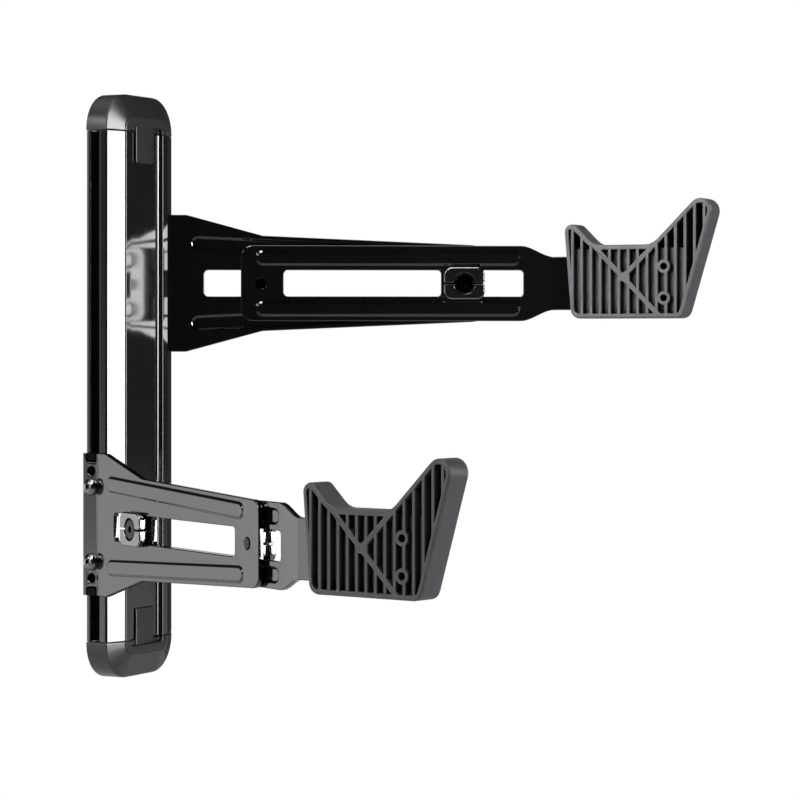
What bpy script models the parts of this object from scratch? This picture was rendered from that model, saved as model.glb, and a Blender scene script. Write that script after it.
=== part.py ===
# Horizontal bike wall mount.
# A vertical aluminium rail is screwed to the wall. Two splayed arms are clamped in the T-slots of its
# sides, slide up and down there, telescope outwards, and end in ribbed cradles for the bike's top tube.
#
# Frame: metres, +Z up, the wall is the plane Y = 0, the arms reach out towards -Y.
# The origin is the middle of the rail's back face.

import math

import bmesh
import bpy
from mathutils import Matrix, Vector

# Clearances
SEAT_GAP = 0.0003            # between two pieces that touch in the real mount
THREAD_GAP = 0.0003          # round a screw in its hole
SLOT_RUNNING_GAP = 0.0003    # round a slider in the slot that guides it
CUTTER_OVERSHOOT = 0.0010    # how far a cutter passes the faces that it opens

# Wall rail, an extrusion
RAIL_LENGTH = 0.400
RAIL_WIDTH = 0.096
RAIL_SIDE_DEPTH = 0.0193     # depth of the flat sides
RAIL_DEPTH = 0.0263          # depth of the raised plateau
PLATEAU_WIDTH = 0.0616
PLATEAU_STEP = 0.0010        # small step between the sloped shoulder and the plateau
LIP_WIDTH = 0.0078           # raised lips on both sides of the front channel
CHANNEL_DEPTH = 0.0038
CHANNEL_CORNER_RADIUS = 0.0024  # where the channel's floor turns up to the lips
RAIL_WALL = 0.0024
FRONT_WALL = 0.0034
RAIL_EDGE_RADIUS = 0.0020
LIP_EDGE_RADIUS = 0.0007
CENTRE_CHAMBER_WIDTH = 0.024
RAIL_WEB = 0.0022

# T-slots in the rail's sides
SLOT_CENTRE = 0.0084         # distance of the slots' middle from the wall
SLOT_OPENING = 0.0082
SLOT_LIP = 0.0030
SLOT_CAVITY_WIDTH = 0.0126
SLOT_CAVITY_DEPTH = 0.0070

# End caps
CAP_STRAIGHT = 0.0020        # below the rounding of its corners
CAP_CHANNEL_RADIUS = 0.0030  # where the front channel turns round in the cap
TONGUE_WIDTH = 0.0256
TONGUE_LENGTH = 0.024
TONGUE_THICKNESS = 0.0015
TONGUE_CORNER_RADIUS = 0.0015
TONGUE_ROOT = 0.0010         # how deep the tongue stands in the cap
PLUG_LENGTH = 0.012
PLUG_ROOT = 0.0020           # how deep a plug stands in the cap
CHAMBER_GAP = 0.0003

# Wall screws, cut off at the wall's plane
WALL_SCREW_SETBACK = 0.014   # from the rail's end
WALL_SCREW_DIAMETER = 0.0060
WALL_SCREW_HEAD = 0.0110
WALL_SCREW_RIM = 0.0004      # straight rim of the countersunk head
WALL_SCREW_SOCKET_DEPTH = 0.0022

# Arms
ARM_SPLAY = math.radians(30.5)
LEFT_CRADLE_SPLAY = math.radians(10.0)
RIGHT_CRADLE_SPLAY = math.radians(2.0)
PLATE_THICKNESS = 0.0045
LEFT_ARM_FROM_END = 0.0923   # from the rail's lower end to the arm's middle
RIGHT_ARM_FROM_END = 0.1179  # from the rail's upper end
LEFT_EXTENSION = 0.0665      # from the bend of the base plate to the inner clamp
RIGHT_EXTENSION = 0.0758

# Base plate, bent from a flat blank
BEND_FROM_WALL = 0.0151
WALL_SHY = 0.0003            # the flange stays this much short of the wall
BASE_BEND_RADIUS = 0.0020
BASE_LENGTH = 0.2573
FLANGE_HEIGHT = 0.1112
SHOULDER_LENGTH = 0.0150     # full height up to here
GUSSET_END = 0.0768
GUSSET_HEIGHT = 0.0776
BASE_END_HEIGHT = 0.0620
BASE_CORNER_RADIUS = 0.0095
SHOULDER_RADIUS = 0.0060
GUSSET_RADIUS = 0.0100
BASE_SLOT_START = 0.0298
NOTCH_WIDTH = 0.0088
NOTCH_DEPTH = 0.0068
NOTCH_CORNER_RADIUS = 0.0015
SPARE_HOLE_SPACING = 0.0836
SPARE_HOLE_DIAMETER = 0.0070

# Bracket screws and the bar that they clamp in the T-slot
BRACKET_SCREW_SPACING = 0.0584
BRACKET_SCREW_DIAMETER = 0.0080
BUTTON_HEAD_DIAMETER = 0.0134
BUTTON_HEAD_HEIGHT = 0.0044
HEAD_RELIEF = 0.0005         # round a bracket screw's head where it bites into the plate's bend
HEX_SOCKET = 0.0050
HEX_SOCKET_DEPTH = 0.0026
BAR_THICKNESS = 0.0038
BAR_CORNER_RADIUS = 0.0012
LUG_LENGTH = 0.0055
LUG_CORNER_RADIUS = 0.0008
BRACKET_SCREW_PROUD = 0.0012
SCREW_EDGE = 0.0005          # chamfer of the screws' ends and flat heads

# Extension plate, also bent from a flat blank
EXTENSION_HEIGHT = 0.0614
EXTENSION_CORNER_RADIUS = 0.0095
EXTENSION_SLOT_LONGER = 0.0025  # than the base plate's slot
NECK_SETBACK = 0.0021        # the neck starts this much before the slot's end
NECK_LENGTH = 0.0274
NECK_HEIGHT = 0.0434
BEND_FROM_SLOT = 0.0245
EXTENSION_BEND_RADIUS = 0.0040
TAB_LENGTH = 0.1140
TAB_CORNER_RADIUS = 0.0060

# Slots and pressed beads of both plates
SLOT_HEIGHT = 0.0213
SLOT_CORNER_RADIUS = 0.0030
BEAD_WIDTH = 0.0120
BEAD_HEIGHT = 0.0012
BEAD_ROOT = 0.0006           # how deep the ridge stands in the plate
GROOVE_NARROWER = 0.0003     # on each side than the ridge
BASE_BEAD_START = 0.0190
BASE_BEAD_SETBACK = 0.0213   # from the plate's outer end
BASE_BEAD_START_SPREAD = 0.0650
BASE_BEAD_END_SPREAD = 0.0448
EXTENSION_BEAD_LEAD = 0.0045  # starts this much before the inner clamp's axis
EXTENSION_BEAD_SETBACK = 0.0025  # from the slot's end
EXTENSION_BEAD_SPREAD = 0.0412

# Clamps, each a block split in two halves and its screw
CLAMP_END_INSET = 0.0165     # from the plate's end to the clamp's axis
CLAMP_SLOT_SETBACK = 0.0185  # from the clamp's axis to the slot of its own plate
CLAMP_LENGTH = 0.0330
CLAMP_HEIGHT = 0.0260
CLAMP_HEAD_THICKNESS = 0.0050
CLAMP_CORNER_RADIUS = 0.0060
CLAMP_CHAMFER = 0.0008
CLAMP_SPLIT = 0.0016
CLAMP_NECK_LENGTH = 0.0248
COUNTERBORE_DIAMETER = 0.0176
COUNTERBORE_DEPTH = 0.0036
CLAMP_SCREW_DIAMETER = 0.0080
CLAMP_SCREW_HEAD = 0.0152
CLAMP_SCREW_HEAD_HEIGHT = 0.0028
CLAMP_SCREW_PROUD = 0.0006

# Cradle, a ribbed moulding; x from the extension's bend, z from the arm's middle
CRADLE_THICKNESS = 0.0204
CRADLE_LEFT_TOP_X = 0.0163
CRADLE_LEFT_TOP_Z = 0.0575
CRADLE_LEFT_BOTTOM_X = 0.0233
CRADLE_BOTTOM_Z = -0.0288
CRADLE_RIGHT_BOTTOM_X = 0.1182
CRADLE_RIGHT_TOP_X = 0.1540
CRADLE_RIGHT_TOP_Z = 0.0914
NOTCH_FLOOR_Z = 0.0303
NOTCH_FLOOR_START = 0.0436
NOTCH_FLOOR_END = 0.0925
INNER_HORN_RADIUS = 0.0063
OUTER_HORN_RADIUS = 0.0101
NOTCH_FLOOR_RADIUS = 0.0140
CRADLE_BOTTOM_RADIUS = 0.0080
CRADLE_RIM = 0.0038
CRADLE_EDGE_RADIUS = 0.0020  # rounding of the rim's outer front edge
POCKET_DEPTH = 0.0160
CORE_POCKET_DEPTH = 0.0058   # in front of the solid core that holds the tab
CORE_LAST_RIB = 12           # the core reaches from the first rib to this one
POCKET_CORNER_RADIUS = 0.0008
RIB_COUNT = 15
RIB_START = 0.0250
RIB_PITCH = 0.00798
RIB_THICKNESS = 0.0025
BRACE_THICKNESS = 0.0040
BRACE_START_X = 0.0424
BRACE_END_X = 0.1011
BRANCH_START_X = 0.0682
BRANCH_START_Z = 0.0043
BRANCH_END_X = 0.0949
JUNCTION_DIAMETER = 0.0072   # round fill where the branch meets the brace
BOSS_X = 0.1029
BOSS_SPACING = 0.0252
BOSS_DIAMETER = 0.0109
CRADLE_SCREW_DIAMETER = 0.0050
CRADLE_SCREW_LENGTH = 0.0140
CRADLE_SCREW_HEAD = 0.0095
CRADLE_SCREW_HEAD_HEIGHT = 0.0028
CRADLE_SCREW_SOCKET = 0.0030

ARC_STEPS = 5
ARC_FACET = math.radians(17.0)  # of the cradle's arcs, which differ in length
ROUND_SIDES = 24
SMALL_ROUND_SIDES = 16


# Scene and materials

def clear_scene():
    for item in list(bpy.data.objects):
        bpy.data.objects.remove(item, do_unlink=True)


def new_collection(name):
    collection = bpy.data.collections.new(name)
    bpy.context.scene.collection.children.link(collection)
    return collection


def paint(item, colour, roughness, metallic):
    look = bpy.data.materials.new(item.name + "_look")
    look.use_nodes = True
    shader = look.node_tree.nodes["Principled BSDF"]
    shader.inputs["Base Color"].default_value = (*colour, 1.0)
    shader.inputs["Roughness"].default_value = roughness
    shader.inputs["Metallic"].default_value = metallic
    item.data.materials.clear()
    item.data.materials.append(look)


def paint_black_aluminium(item):
    paint(item, (0.014, 0.014, 0.015), 0.16, 0.0)


def paint_black_steel(item):
    paint(item, (0.012, 0.012, 0.012), 0.12, 0.0)


def paint_satin_plastic(item):
    paint(item, (0.030, 0.030, 0.031), 0.38, 0.0)


def paint_matte_plastic(item):
    paint(item, (0.045, 0.045, 0.046), 0.62, 0.0)


def paint_black_zinc(item):
    paint(item, (0.060, 0.060, 0.062), 0.28, 1.0)


# Outlines

def rounded(corners, radii, steps=ARC_STEPS):
    # Replaces each corner of a closed outline by an arc that touches both of its edges.
    # Without a number of steps, longer arcs get more of them.
    points = []
    count = len(corners)
    for index in range(count):
        corner = Vector(corners[index])
        radius = radii[index]
        if radius <= 0.0:
            points.append(tuple(corner))
            continue
        towards_last = (Vector(corners[index - 1]) - corner).normalized()
        towards_next = (Vector(corners[(index + 1) % count]) - corner).normalized()
        half_angle = towards_last.angle(towards_next) / 2.0
        bisector = (towards_last + towards_next).normalized()
        centre = corner + bisector * (radius / math.sin(half_angle))
        first = corner + towards_last * (radius / math.tan(half_angle)) - centre
        last = corner + towards_next * (radius / math.tan(half_angle)) - centre
        turn = math.atan2(first.x * last.y - first.y * last.x, first.dot(last))
        parts_of_arc = steps or max(2, round(abs(turn) / ARC_FACET))
        for step in range(parts_of_arc + 1):
            spoke = first.copy()
            spoke.rotate(Matrix.Rotation(turn * step / parts_of_arc, 2))
            points.append(tuple(centre + spoke))
    return points


def rectangle(x_low, x_high, y_low, y_high, radius=0.0, steps=ARC_STEPS):
    corners = [(x_low, y_low), (x_high, y_low), (x_high, y_high), (x_low, y_high)]
    return rounded(corners, [radius] * 4, steps)


def circle(x, y, diameter, sides=ROUND_SIDES):
    points = []
    for side in range(sides):
        angle = 2.0 * math.pi * (side + 0.5) / sides
        points.append((x + diameter / 2.0 * math.cos(angle), y + diameter / 2.0 * math.sin(angle)))
    return points


def capsule(start, end, width, steps=6):
    # A long outline with half-round ends, from start to end.
    first = Vector(start)
    last = Vector(end)
    along = (last - first).normalized()
    heading = math.atan2(along.y, along.x)
    radius = width / 2.0
    points = []
    for centre, opening in ((last - along * radius, -0.5), (first + along * radius, 0.5)):
        for step in range(steps + 1):
            angle = heading + math.pi * (opening + step / steps)
            points.append((centre.x + radius * math.cos(angle), centre.y + radius * math.sin(angle)))
    return points


def inset(corners, distance):
    # Moves each edge of a closed outline inwards; the outline runs anticlockwise.
    moved = []
    count = len(corners)
    for index in range(count):
        last = Vector(corners[index - 1])
        corner = Vector(corners[index])
        following = Vector(corners[(index + 1) % count])
        before = (corner - last).normalized()
        after = (following - corner).normalized()
        normal = Vector((-before.y, before.x)) + Vector((-after.y, after.x))
        scale = distance / (1.0 + before.dot(after))
        moved.append(tuple(corner + normal * scale))
    return moved


# Solids

def mesh_from_curve(guide):
    bpy.context.view_layer.update()
    depsgraph = bpy.context.evaluated_depsgraph_get()
    mesh = bpy.data.meshes.new_from_object(guide.evaluated_get(depsgraph))
    work = bmesh.new()
    work.from_mesh(mesh)
    bmesh.ops.remove_doubles(work, verts=work.verts, dist=0.000001)
    bmesh.ops.dissolve_degenerate(work, edges=work.edges, dist=0.0000001)
    work.to_mesh(mesh)
    work.free()
    curve = guide.data
    bpy.data.objects.remove(guide, do_unlink=True)
    bpy.data.curves.remove(curve)
    return mesh


def prism(name, outlines, low, high, chamfer=0.0):
    # A flat outline in the XY plane, thickened from low to high along Z. Outlines after the first are holes.
    curve = bpy.data.curves.new(name, "CURVE")
    curve.dimensions = "2D"
    curve.fill_mode = "BOTH"
    curve.extrude = (high - low) / 2.0 - chamfer
    curve.bevel_depth = chamfer
    curve.bevel_resolution = 0
    curve.offset = -chamfer
    for outline in outlines:
        spline = curve.splines.new("POLY")
        spline.points.add(len(outline) - 1)
        for point, place in zip(spline.points, outline):
            point.co = (place[0], place[1], 0.0, 1.0)
        spline.use_cyclic_u = True
    guide = bpy.data.objects.new(name + "_outline", curve)
    bpy.context.scene.collection.objects.link(guide)
    mesh = mesh_from_curve(guide)
    mesh.name = name
    mesh.transform(Matrix.Translation((0.0, 0.0, (low + high) / 2.0)))
    item = bpy.data.objects.new(name, mesh)
    parts.objects.link(item)
    return item


def stand_up(item):
    # Turns an outline drawn in X and Y upright, so that it lies in X and Z and its thickness runs along -Y.
    item.data.transform(Matrix.Rotation(math.pi / 2.0, 4, "X"))
    return item


def slab(name, outlines, front, back, chamfer=0.0):
    # An upright plate: outlines in X and Z, from y = front to y = back.
    return stand_up(prism(name, outlines, -back, -front, chamfer))


def turned(name, profile, sides=ROUND_SIDES):
    # A turned piece: (radius, height) points down its outer side, turned about Z with a Screw modifier.
    mesh = bpy.data.meshes.new(name)
    points = [(radius, 0.0, height) for radius, height in profile]
    edges = [(index, index + 1) for index in range(len(points) - 1)]
    mesh.from_pydata(points, edges, [])
    item = bpy.data.objects.new(name, mesh)
    parts.objects.link(item)
    screw = item.modifiers.new("Turn", "SCREW")
    screw.steps = sides
    screw.render_steps = sides
    screw.use_merge_vertices = True
    screw.merge_threshold = 0.00001
    apply_modifiers(item)
    return item


def apply_modifiers(item):
    bpy.context.view_layer.update()
    depsgraph = bpy.context.evaluated_depsgraph_get()
    mesh = bpy.data.meshes.new_from_object(item.evaluated_get(depsgraph))
    old = item.data
    item.modifiers.clear()
    item.data = mesh
    mesh.name = item.name
    bpy.data.meshes.remove(old)


def combine(item, tool, operation):
    parts.objects.unlink(tool)
    cutters.objects.link(tool)
    tool.hide_render = True
    tool.display_type = "WIRE"
    boolean = item.modifiers.new(operation.title(), "BOOLEAN")
    boolean.operation = operation
    boolean.solver = "EXACT"
    boolean.object = tool
    apply_modifiers(item)
    mesh = tool.data
    bpy.data.objects.remove(tool, do_unlink=True)
    bpy.data.meshes.remove(mesh)


def cut(item, tool):
    combine(item, tool, "DIFFERENCE")


def join(item, tool):
    combine(item, tool, "UNION")


def keep_inside(item, tool):
    combine(item, tool, "INTERSECT")


def frame_empty(name, parent, place, turn=0.0):
    empty = bpy.data.objects.new(name, None)
    empty.empty_display_size = 0.02
    empty.location = place
    empty.rotation_euler = (0.0, 0.0, turn)
    empty.parent = parent
    parts.objects.link(empty)
    return empty


def put(item, parent, place=(0.0, 0.0, 0.0), turn=(0.0, 0.0, 0.0)):
    item.parent = parent
    item.location = place
    item.rotation_euler = turn
    item.data.shade_smooth()
    item.data.set_sharp_from_angle(angle=math.radians(30.0))
    return item


# Sizes that follow from the ones above

def channel_width():
    return PLATEAU_WIDTH - 2.0 * LIP_WIDTH


def channel_floor():
    return -(RAIL_DEPTH - CHANNEL_DEPTH)


def cap_corner_radius():
    # The lips keep their width all the way round, down to the channel's small corner.
    return (RAIL_WIDTH - PLATEAU_WIDTH) / 2.0 + LIP_WIDTH + CAP_CHANNEL_RADIUS


def cap_height():
    return cap_corner_radius() + CAP_STRAIGHT


def outer_clamp_place():
    return BASE_LENGTH - CLAMP_END_INSET


def base_slot_end():
    return outer_clamp_place() - CLAMP_SLOT_SETBACK


def extension_slot_end():
    # Places on the extension plate are counted from the inner clamp's axis.
    return CLAMP_SLOT_SETBACK + base_slot_end() - BASE_SLOT_START + EXTENSION_SLOT_LONGER


def extension_bend():
    return extension_slot_end() + BEND_FROM_SLOT


def tab_turn(side):
    # how far the tab is bent back from the arm's direction
    return ARM_SPLAY - (RIGHT_CRADLE_SPLAY if side > 0.0 else LEFT_CRADLE_SPLAY)


def extension_middle():
    # distance of the extension's middle plane from the base plate's inner face
    return SEAT_GAP + PLATE_THICKNESS / 2.0


def plates_reach():
    # Both plates, with their beads, lie this close to the base plate's inner face.
    return SEAT_GAP + PLATE_THICKNESS + BEAD_HEIGHT + CUTTER_OVERSHOOT


# Rail

def rail_outline():
    half = RAIL_WIDTH / 2.0
    plateau = PLATEAU_WIDTH / 2.0
    channel = channel_width() / 2.0
    slot_near = -(SLOT_CENTRE - SLOT_OPENING / 2.0)
    slot_far = -(SLOT_CENTRE + SLOT_OPENING / 2.0)
    cavity_near = -(SLOT_CENTRE - SLOT_CAVITY_WIDTH / 2.0)
    cavity_far = -(SLOT_CENTRE + SLOT_CAVITY_WIDTH / 2.0)
    cavity_mouth = half - SLOT_LIP
    cavity_floor = cavity_mouth - SLOT_CAVITY_DEPTH
    shoulder_top = -(RAIL_DEPTH - PLATEAU_STEP)
    edge = RAIL_EDGE_RADIUS
    lip = LIP_EDGE_RADIUS
    right = [
        ((half, 0.0), edge),
        ((half, slot_near), lip),
        ((cavity_mouth, slot_near), 0.0),
        ((cavity_mouth, cavity_near), 0.0),
        ((cavity_floor, cavity_near), 0.0),
        ((cavity_floor, cavity_far), 0.0),
        ((cavity_mouth, cavity_far), 0.0),
        ((cavity_mouth, slot_far), 0.0),
        ((half, slot_far), lip),
        ((half, -RAIL_SIDE_DEPTH), edge),
        ((plateau, shoulder_top), 0.0),
        ((plateau, -RAIL_DEPTH), lip),
        ((channel, -RAIL_DEPTH), lip),
        ((channel, channel_floor()), CHANNEL_CORNER_RADIUS),
    ]
    left = [((-place[0], place[1]), radius) for place, radius in reversed(right)]
    corners = [place for place, radius in right + left]
    radii = [radius for place, radius in right + left]
    return rounded(corners, radii, 3)


def chamber_edges():
    # Walls of the side chambers: inner and outer x, back and front y.
    inner = CENTRE_CHAMBER_WIDTH / 2.0 + RAIL_WEB
    outer = RAIL_WIDTH / 2.0 - SLOT_LIP - SLOT_CAVITY_DEPTH - RAIL_WEB
    return inner, outer, -RAIL_WALL, channel_floor() + FRONT_WALL


def make_rail():
    inner, outer, back, front = chamber_edges()
    centre = CENTRE_CHAMBER_WIDTH / 2.0
    chambers = [
        rectangle(-outer, -inner, front, back),
        rectangle(-centre, centre, front, back),
        rectangle(inner, outer, front, back),
    ]
    half = RAIL_LENGTH / 2.0
    rail = prism("wall_rail", [rail_outline()] + chambers, -half, half)
    for sign in (1.0, -1.0):
        cut(rail, wall_screw_hole(sign * (half - WALL_SCREW_SETBACK)))
    paint_black_aluminium(rail)
    return rail


def wall_screw_shape(name, grow, back_end):
    # A countersunk screw along Y with its head flush in the channel floor.
    front = channel_floor()
    radius = WALL_SCREW_DIAMETER / 2.0 + grow
    head = WALL_SCREW_HEAD / 2.0 + grow
    top = -front + (CUTTER_OVERSHOOT if grow > 0.0 else -SEAT_GAP)
    rim = -front - SEAT_GAP - WALL_SCREW_RIM
    profile = [
        (0.0, top),
        (head, top),
        (head, rim),
        (radius, rim - (head - radius)),
        (radius, -back_end),
        (0.0, -back_end),
    ]
    shape = turned(name, profile)
    shape.data.transform(Matrix.Rotation(math.pi / 2.0, 4, "X"))
    return shape


def wall_screw_hole(height):
    hole = wall_screw_shape("wall_screw_hole", THREAD_GAP, CUTTER_OVERSHOOT)
    hole.data.transform(Matrix.Translation((0.0, 0.0, height)))
    return hole


def make_wall_screw(name, height):
    screw = wall_screw_shape(name, 0.0, -WALL_SHY)
    socket = slab("socket", [circle(0.0, 0.0, HEX_SOCKET / math.cos(math.pi / 6.0), 6)],
                  channel_floor() - CUTTER_OVERSHOOT, channel_floor() + WALL_SCREW_SOCKET_DEPTH)
    cut(screw, socket)
    paint_black_zinc(screw)
    return put(screw, None, (0.0, 0.0, height))


# End caps

def make_cap(name, sign):
    # The front of the cap is set in step by step, as the rail's section runs round its rounded end.
    half = RAIL_WIDTH / 2.0
    radius = cap_corner_radius()
    top = RAIL_LENGTH / 2.0 + cap_height()
    low = top - 4.0 * radius
    outline = rectangle(-half, half, low, top, radius, 8)
    cap = slab(name, [outline], -RAIL_SIDE_DEPTH, 0.0)
    merge_front(cap)
    shoulder_top = RAIL_DEPTH - PLATEAU_STEP
    step_front_face(cap, half - PLATEAU_WIDTH / 2.0, shoulder_top - RAIL_SIDE_DEPTH)
    step_front_face(cap, 0.0, PLATEAU_STEP)
    step_front_face(cap, LIP_WIDTH, 0.0)
    step_front_face(cap, 0.0, -CHANNEL_DEPTH)
    side = half + CUTTER_OVERSHOOT
    below = rectangle(-side, side, low - CUTTER_OVERSHOOT, RAIL_LENGTH / 2.0 + SEAT_GAP)
    cut(cap, slab("below", [below], -RAIL_DEPTH - CUTTER_OVERSHOOT, CUTTER_OVERSHOOT))
    join(cap, tongue())
    join(cap, tongue_root())
    for place in (1.0, -1.0):
        join(cap, plug(place))
    if sign < 0.0:
        cap.data.transform(Matrix.Rotation(math.pi, 4, "Y"))
    paint_satin_plastic(cap)
    return put(cap, None)


def merge_front(item):
    # Makes one face of the triangles that fill the front.
    work = bmesh.new()
    work.from_mesh(item.data)
    front = [face for face in work.faces if face.normal.y < -0.999]
    bmesh.ops.dissolve_faces(work, faces=front)
    work.to_mesh(item.data)
    work.free()


def step_front_face(item, width, rise):
    # Insets the widest front face by width, or extrudes it straight when width is nil, and moves it
    # out by rise.
    work = bmesh.new()
    work.from_mesh(item.data)
    fronts = [face for face in work.faces if face.normal.y < -0.999]
    face = max(fronts, key=lambda front: front.calc_area())
    if width > 0.0:
        bmesh.ops.inset_region(work, faces=[face], thickness=width, use_even_offset=True,
                               use_boundary=True)
    else:
        face = bmesh.ops.extrude_discrete_faces(work, faces=[face])["faces"][0]
    bmesh.ops.translate(work, verts=face.verts[:], vec=(0.0, -rise, 0.0))
    work.normal_update()
    work.to_mesh(item.data)
    work.free()


def tongue():
    low = RAIL_LENGTH / 2.0 - TONGUE_LENGTH
    high = RAIL_LENGTH / 2.0 + cap_height() / 2.0
    floor = channel_floor()
    outline = rectangle(-TONGUE_WIDTH / 2.0, TONGUE_WIDTH / 2.0, low, high, TONGUE_CORNER_RADIUS, 3)
    return slab("tongue", [outline], floor - SEAT_GAP - TONGUE_THICKNESS, floor - SEAT_GAP)


def tongue_root():
    # Inside the cap the tongue is one with the channel's floor.
    half = TONGUE_WIDTH / 2.0 - SEAT_GAP
    low = RAIL_LENGTH / 2.0 + 2.0 * SEAT_GAP
    high = RAIL_LENGTH / 2.0 + cap_height() / 3.0
    front = channel_floor() - SEAT_GAP - TONGUE_THICKNESS / 2.0
    return slab("tongue_root", [rectangle(-half, half, low, high)], front, channel_floor() + TONGUE_ROOT)


def plug(side):
    inner, outer, back, front = chamber_edges()
    middle = side * (inner + outer) / 2.0
    half = (outer - inner) / 2.0 - CHAMBER_GAP
    end = RAIL_LENGTH / 2.0
    outline = rectangle(middle - half, middle + half, front + CHAMBER_GAP, back - CHAMBER_GAP)
    return prism("plug", [outline], end - PLUG_LENGTH, end + SEAT_GAP + PLUG_ROOT)


# Plates of the arms

def bead_tool(start, end, front, back, narrower=0.0):
    return slab("bead", [capsule(start, end, BEAD_WIDTH - 2.0 * narrower)], front, back, BEAD_HEIGHT)


def add_bead(plate, start, end, outer_face, outwards):
    # Pressed bead: a ridge on the outer face and the matching groove behind it.
    inner_face = outer_face - outwards * PLATE_THICKNESS
    depth = BEAD_HEIGHT + BEAD_ROOT
    ridge = sorted((outer_face - outwards * depth, outer_face + outwards * BEAD_HEIGHT))
    groove = sorted((inner_face - outwards * depth, inner_face + outwards * BEAD_HEIGHT))
    join(plate, bead_tool(start, end, ridge[0], ridge[1]))
    cut(plate, bead_tool(start, end, groove[0], groove[1], GROOVE_NARROWER))


def slot_tool(start, end):
    half = SLOT_HEIGHT / 2.0
    reach = plates_reach()
    return slab("slot", [rectangle(start, end, -half, half, SLOT_CORNER_RADIUS)], -reach, reach)


def drill(x, z, diameter, reach):
    return slab("drill", [circle(x, z, diameter)], -reach, reach)


def base_section(side):
    # The bent strip seen from above. The arm's inner face lies on y = 0 and the bend at x = 0.
    splay = ARM_SPLAY
    flange = BEND_FROM_WALL - WALL_SHY
    back = Vector((-math.cos(splay), math.sin(splay))) * flange
    across = Vector((math.sin(splay), math.cos(splay))) * PLATE_THICKNESS
    elbow = PLATE_THICKNESS * math.tan(splay / 2.0)
    corners = [
        tuple(back),
        (0.0, 0.0),
        (BASE_LENGTH, 0.0),
        (BASE_LENGTH, PLATE_THICKNESS),
        (elbow, PLATE_THICKNESS),
        tuple(back + across),
    ]
    corners = [(x, side * y) for x, y in corners]
    radius = BASE_BEND_RADIUS
    return rounded(corners, [0.0, radius + PLATE_THICKNESS, 0.0, 0.0, radius, 0.0])


def base_silhouette():
    tall = FLANGE_HEIGHT / 2.0
    behind = -(BEND_FROM_WALL + CUTTER_OVERSHOOT)
    corners = [
        (behind, -tall),
        (SHOULDER_LENGTH, -tall),
        (GUSSET_END, -GUSSET_HEIGHT / 2.0),
        (BASE_LENGTH, -BASE_END_HEIGHT / 2.0),
        (BASE_LENGTH, BASE_END_HEIGHT / 2.0),
        (GUSSET_END, GUSSET_HEIGHT / 2.0),
        (SHOULDER_LENGTH, tall),
        (behind, tall),
    ]
    half = [0.0, SHOULDER_RADIUS, GUSSET_RADIUS, BASE_CORNER_RADIUS]
    return rounded(corners, half + half[::-1])


def flange_tools(side):
    # Holes and end notches of the flange, drilled square to the rail's side.
    tools = []
    reach = 2.0 * PLATE_THICKNESS
    spare = SPARE_HOLE_SPACING / 2.0
    screw = BRACKET_SCREW_SPACING / 2.0
    sizes = [
        (spare, SPARE_HOLE_DIAMETER),
        (screw, BRACKET_SCREW_DIAMETER + 2.0 * THREAD_GAP),
        (-screw, BRACKET_SCREW_DIAMETER + 2.0 * THREAD_GAP),
        (-spare, SPARE_HOLE_DIAMETER),
    ]
    for height, diameter in sizes:
        tools.append(drill(0.0, height, diameter, reach))
    for sign in (1.0, -1.0):
        outline = circle(0.0, sign * screw, BUTTON_HEAD_DIAMETER + 2.0 * HEAD_RELIEF)
        depth = sorted((side * (reach + BUTTON_HEAD_HEIGHT), side * (PLATE_THICKNESS + SEAT_GAP / 2.0)))
        tools.append(slab("head_relief", [outline], depth[0], depth[1]))
    tall = FLANGE_HEIGHT / 2.0
    half = NOTCH_WIDTH / 2.0
    for sign in (1.0, -1.0):
        edges = sorted((sign * (tall - NOTCH_DEPTH), sign * (tall + 2.0 * NOTCH_CORNER_RADIUS)))
        outline = rectangle(-half, half, edges[0], edges[1], NOTCH_CORNER_RADIUS, 3)
        tools.append(slab("flange_notch", [outline], -reach, reach))
    # from the rail's axes to the plate's: the slot's middle lies behind the bend
    behind = BEND_FROM_WALL - SLOT_CENTRE
    place = Vector((-math.cos(ARM_SPLAY) * behind, side * math.sin(ARM_SPLAY) * behind, 0.0))
    turn = Matrix.Rotation(-side * ARM_SPLAY, 4, "Z")
    for tool in tools:
        tool.data.transform(Matrix.Translation(place) @ turn)
    return tools


def make_base_plate(name, side, parent):
    tall = FLANGE_HEIGHT / 2.0
    plate = prism(name, [base_section(side)], -tall, tall)
    reach = BEND_FROM_WALL + PLATE_THICKNESS
    keep_inside(plate, slab("silhouette", [base_silhouette()], -reach, reach))
    outer_face = side * PLATE_THICKNESS
    for sign in (1.0, -1.0):
        start = (BASE_BEAD_START, sign * BASE_BEAD_START_SPREAD / 2.0)
        end = (BASE_LENGTH - BASE_BEAD_SETBACK, sign * BASE_BEAD_END_SPREAD / 2.0)
        add_bead(plate, start, end, outer_face, side)
    cut(plate, slot_tool(BASE_SLOT_START, base_slot_end()))
    cut(plate, drill(outer_clamp_place(), 0.0, CLAMP_SCREW_DIAMETER + 2.0 * THREAD_GAP, plates_reach()))
    for tool in flange_tools(side):
        cut(plate, tool)
    paint_black_steel(plate)
    return put(plate, parent)


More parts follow.
